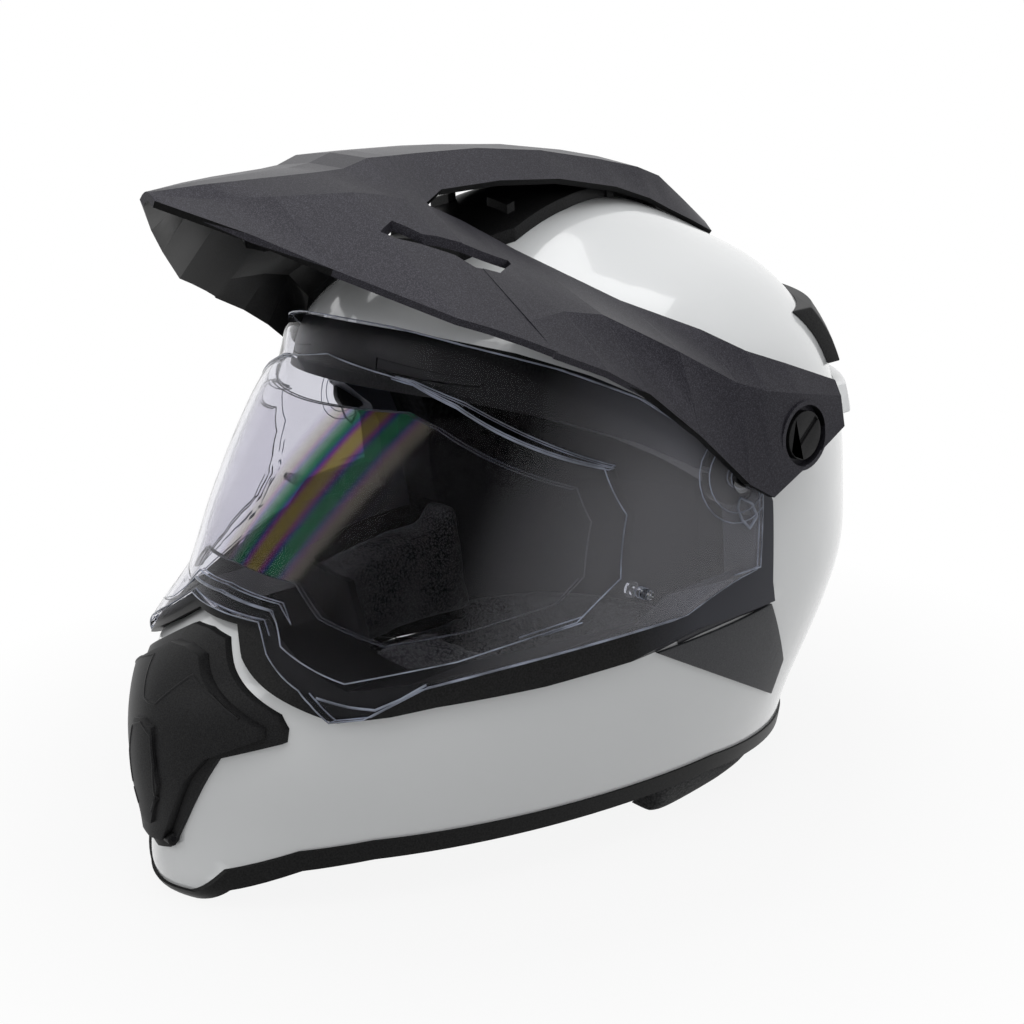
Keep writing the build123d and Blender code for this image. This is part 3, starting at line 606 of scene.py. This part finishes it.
class HELMET_OT_hard_parts(bpy.types.Operator):
    """Finish the moulded vents, plates, screws and pivots"""
    bl_idname = "helmet.hard_parts"
    bl_label = "Moulded parts"

    def execute(self, context):
        edge = context.scene.helmet_sizes.edge
        for node in ("chin_vent_base", "chin_vent_cover", "top_vent_base", "top_vent_slider"):
            rounded(node, edge)
        for side in SIDES:
            for node in ("side_trim", "peak_screw", "pivot_base", "brow_vent"):
                rounded(node + "_" + side, edge * SMALL_EDGE_SHARE)
        for side, sign in SIDES.items():
            bead_on("outer_shell", [(sign * STRIP_OUT, y, z) for y, z in PLATE_SEAM], (-sign, 0, 0),
                    STRIP_RADIUS, "plate_strip_" + side, "side_grey", STRIP_SINK)
        for title, line in (("panel", COVER_PANEL), ("keel", COVER_KEEL)):
            for side, sign in SIDES.items():
                bead_on("chin_vent_cover", [(sign * x, 0.0, z) for x, z in line], (0, 1, 0), COVER_RADIUS,
                        "cover_%s_%s" % (title, side), "trim_black", COVER_SINK)
        return {"FINISHED"}


# Edge of the raised pane, mm across and up, and the height towards which the edge line is drawn in, and its
# size as a share
PANE_OUTLINE = ((0, 198), (44, 191), (64, 184), (110, 161), (117, 143.5), (118, 120), (112, 106), (91, 97),
                (67, 92), (40, 102), (28, 112), (0, 114))
PANE_MIDDLE, PANE_INSET = 145, 0.992
# Edges of the lift tabs at the visor's lower rim, metres
TAB_OUTLINE = ((0.0609, 0, 0.0882), (0.0700, 0, 0.0848), (0.0762, 0, 0.0832), (0.0812, 0, 0.0863),
               (0.0865, 0, 0.0913))
# Clear clip below each hinge and the rings moulded round the hinge, metres along and up
CLIP_OUTLINE = ((0.0212, 0.1423), (0.0270, 0.1391), (0.0296, 0.1334), (0.0258, 0.1294), (0.0218, 0.1335),
                (0.0200, 0.1386), (0.0212, 0.1423))
HINGE, RING_RADII, RING_STEPS = (0.0221, 0.150), (0.0135, 0.0175), 24
# Radius of each line on the visor, and how deep the pane's line and the others sink
EDGE_RADIUS, TAB_RADIUS, CLIP_RADIUS, RING_RADIUS = 0.3 * MM, 0.5 * MM, 0.6 * MM, 0.25 * MM
PANE_SINK, LINE_SINK = 0.2, 0.1
# An edge that turns by more than this many degrees gets a line
SHARP_ANGLE = 40


class HELMET_OT_clear_parts(bpy.types.Operator):
    """Finish the visor, its inner lens and the clear clips"""
    bl_idname = "helmet.clear_parts"
    bl_label = "Clear parts"

    def execute(self, context):
        for node in ("visor", "lens_insert", "pivot_cap_left", "pivot_cap_right",
                     "lens_pin_left", "lens_pin_right"):
            paint(frame["nodes"][node], slot_of(node))
        # pale beads along the visor's sharp edges, pane edge, lift tabs, clips and hinge rings: real edges
        # drawn as painted highlights
        edge_lines("visor", "visor_edge", SHARP_ANGLE, EDGE_RADIUS, "painted_edge_highlight")
        outline = [(x * PANE_INSET * MM, 0.0, (z - PANE_MIDDLE) * PANE_INSET * MM + PANE_MIDDLE * MM)
                   for x, z in PANE_OUTLINE]
        for side, sign in SIDES.items():
            bead_on("visor", [(sign * x, y, z) for x, y, z in outline], (0, 1, 0), EDGE_RADIUS,
                    "pane_edge_" + side, "painted_edge_highlight", PANE_SINK)
        for side, sign in SIDES.items():
            bead_on("visor", [(sign * x, y, z) for x, y, z in TAB_OUTLINE], (0, 1, 0), TAB_RADIUS,
                    "visor_tab_" + side, "painted_edge_highlight", LINE_SINK)
            bead_on("visor", [(0, y, z) for y, z in CLIP_OUTLINE], (-sign, 0, 0), CLIP_RADIUS,
                    "visor_clip_" + side, "painted_edge_highlight", LINE_SINK)
            for step, radius in enumerate(RING_RADII):
                turns = [2 * math.pi * i / RING_STEPS for i in range(RING_STEPS + 1)]
                bead_on("visor", [(0, HINGE[0] + radius * math.cos(t), HINGE[1] + radius * math.sin(t))
                                  for t in turns], (-sign, 0, 0), RING_RADIUS,
                        "hinge_ring_%d_%s" % (step, side), "painted_edge_highlight", LINE_SINK)
        edge_lines("lens_insert", "lens_seal", SHARP_ANGLE, EDGE_RADIUS, "lens_bead")
        return {"FINISHED"}


class HELMET_OT_rubber(bpy.types.Operator):
    """Finish the seal round the eye opening, the edge band and the breath guard"""
    bl_idname = "helmet.rubber"
    bl_label = "Rubber parts"

    def execute(self, context):
        paint(frame["nodes"]["port_seal"], "seal_frame")
        for node in ("edge_trim", "breath_guard", "chin_vent_mesh",
                     "eps_crown_liner", "eps_chin_liner"):
            paint(frame["nodes"][node], slot_of(node))
        paint(frame["nodes"]["chin_vent_pin"], "dark_steel")
        return {"FINISHED"}


# Cut of the chin curtain, metres and square metres, and the rounding of its edge
CURTAIN_CUT, CURTAIN_AREA, CURTAIN_EDGE = (0.096, 0.036), 0.00223, 0.3 * MM


class HELMET_OT_pads(bpy.types.Operator):
    """Make the cheek pads, crown pad, neck roll and chin curtain"""
    bl_idname = "helmet.pads"
    bl_label = "Pads"

    def execute(self, context):
        swell = context.scene.helmet_sizes.swell
        for node in ("cheek_pad_left", "cheek_pad_right", "crown_pad"):
            padded(node, swell)
        padded("neck_roll", swell, reach=ROLL_REACH)
        curtain = rounded("chin_curtain", CURTAIN_EDGE, segments=2)
        return {"FINISHED"}


# Cut sizes of the strap's webbing, metres, and the rounding of its edges
STRAP_WIDTH, STRAP_EDGE = 0.024, 0.25 * MM
STRAP_LENGTHS = {"strap_left": 0.080, "strap_right": 0.118}


class HELMET_OT_straps(bpy.types.Operator):
    """Make the chin strap, its ring and its anchors"""
    bl_idname = "helmet.straps"
    bl_label = "Chin strap"

    def execute(self, context):
        for node, length in STRAP_LENGTHS.items():
            webbing = rounded(node, STRAP_EDGE, segments=2)
        for node in ("d_ring", "strap_anchor_left", "strap_anchor_right"):
            paint(frame["nodes"][node], slot_of(node))
        return {"FINISHED"}


class HELMET_OT_stage(bpy.types.Operator):
    """Make the floor, the lights and the camera"""
    bl_idname = "helmet.stage"
    bl_label = "Stage"

    def execute(self, context):
        make_floor()
        make_world()
        make_lights()
        make_camera()
        return {"FINISHED"}


def shown_background(tree):
    """1 for rays that should see the plain white background."""
    rays = add_node(tree, "ShaderNodeLightPath")
    total = rays.outputs["Is Camera Ray"]
    for name in ("Is Glossy Ray", "Is Transmission Ray"):
        total = add_node(tree, "ShaderNodeMath", {0: total, 1: rays.outputs[name]},
                         operation="MAXIMUM").outputs[0]
    return total


def make_floor():
    """White paper that fades into the background away from the helmet."""
    bpy.ops.object.select_all(action="DESELECT")
    bpy.ops.mesh.primitive_plane_add(size=FLOOR_SIZE, location=(0, 0, -FLOOR_DROP))
    floor = bpy.context.active_object
    floor.name = "floor"
    material, tree, shader, place = new_material("white_paper")
    set_sockets(shader, Base_Color=(FLOOR_GREY, FLOOR_GREY, FLOOR_GREY, 1), Roughness=0.9)
    glow = add_node(tree, "ShaderNodeEmission")
    reach = add_node(tree, "ShaderNodeVectorMath", {0: place}, operation="LENGTH")
    fade = add_node(tree, "ShaderNodeMapRange", {"Value": reach.outputs["Value"]},
                    {"From Min": FADE_START, "From Max": FADE_END, "To Min": FADE_SHADE, "To Max": 1.0})
    share = add_node(tree, "ShaderNodeMath", {0: shown_background(tree), 1: fade.outputs["Result"]},
                     operation="MULTIPLY")
    mix = add_node(tree, "ShaderNodeMixShader", {"Fac": share.outputs[0], 1: shader.outputs["BSDF"],
                                                 2: glow.outputs["Emission"]})
    tree.links.new(mix.outputs["Shader"], tree.nodes["Material Output"].inputs["Surface"])
    floor.data.materials.append(material)


def make_world():
    world = bpy.data.worlds.new("studio")
    bpy.context.scene.world = world
    world.use_nodes = True
    tree = world.node_tree
    soft = tree.nodes["Background"]
    soft.inputs["Color"].default_value = (1, 1, 1, 1)
    soft.inputs["Strength"].default_value = SKY_STRENGTH
    white = add_node(tree, "ShaderNodeBackground", values={"Color": (1, 1, 1, 1), "Strength": 1.0})
    mix = add_node(tree, "ShaderNodeMixShader", {"Fac": shown_background(tree),
                                                 1: soft.outputs[0], 2: white.outputs[0]})
    tree.links.new(mix.outputs[0], tree.nodes["World Output"].inputs["Surface"])


def make_lights():
    for name, (place, size, power) in SOFTBOXES.items():
        light = bpy.data.lights.new(name, "AREA")
        light.size, light.energy = size, power
        lamp = bpy.data.objects.new(name, light)
        lamp.location = place
        lamp.rotation_mode = "QUATERNION"
        lamp.rotation_quaternion = (Vector(LIGHT_AIM) - Vector(place)).to_track_quat("-Z", "Y")
        bpy.context.scene.collection.objects.link(lamp)


def make_camera():
    camera = bpy.data.cameras.new("camera")
    camera.lens, camera.sensor_width, camera.sensor_fit = CAMERA_LENS, SENSOR_WIDTH, "HORIZONTAL"
    eye = bpy.data.objects.new("camera", camera)
    eye.location = CAMERA_PLACE
    eye.rotation_euler = [math.radians(angle) for angle in CAMERA_TURN]
    bpy.context.scene.collection.objects.link(eye)
    bpy.context.scene.camera = eye


class HELMET_PT_panel(bpy.types.Panel):
    bl_idname = "HELMET_PT_panel"
    bl_label = "Helmet"
    bl_space_type = "VIEW_3D"
    bl_region_type = "UI"
    bl_category = "Helmet"

    def draw(self, context):
        for group in (context.scene.helmet_sizes, context.scene.helmet_colours):
            for name in group.__annotations__:
                self.layout.prop(group, name)
        for operator in OPERATORS:
            self.layout.operator(operator.bl_idname)


OPERATORS = (HELMET_OT_shell, HELMET_OT_peak, HELMET_OT_hard_parts, HELMET_OT_clear_parts, HELMET_OT_rubber,
             HELMET_OT_pads, HELMET_OT_straps, HELMET_OT_stage)
CLASSES = (HelmetSizes, HelmetColours, *OPERATORS, HELMET_PT_panel)


def register():
    for item in CLASSES:
        bpy.utils.register_class(item)
    bpy.types.Scene.helmet_sizes = bpy.props.PointerProperty(type=HelmetSizes)
    bpy.types.Scene.helmet_colours = bpy.props.PointerProperty(type=HelmetColours)


def unregister():
    del bpy.types.Scene.helmet_sizes
    del bpy.types.Scene.helmet_colours
    for item in reversed(CLASSES):
        bpy.utils.unregister_class(item)


def main():
    register()
    bpy.context.scene.view_settings.view_transform = "Standard"
    bpy.ops.helmet.shell()
    bpy.ops.helmet.peak()
    bpy.ops.helmet.hard_parts()
    bpy.ops.helmet.clear_parts()
    bpy.ops.helmet.rubber()
    bpy.ops.helmet.pads()
    bpy.ops.helmet.straps()
    bpy.ops.helmet.stage()


if __name__ == "__main__":
    main()
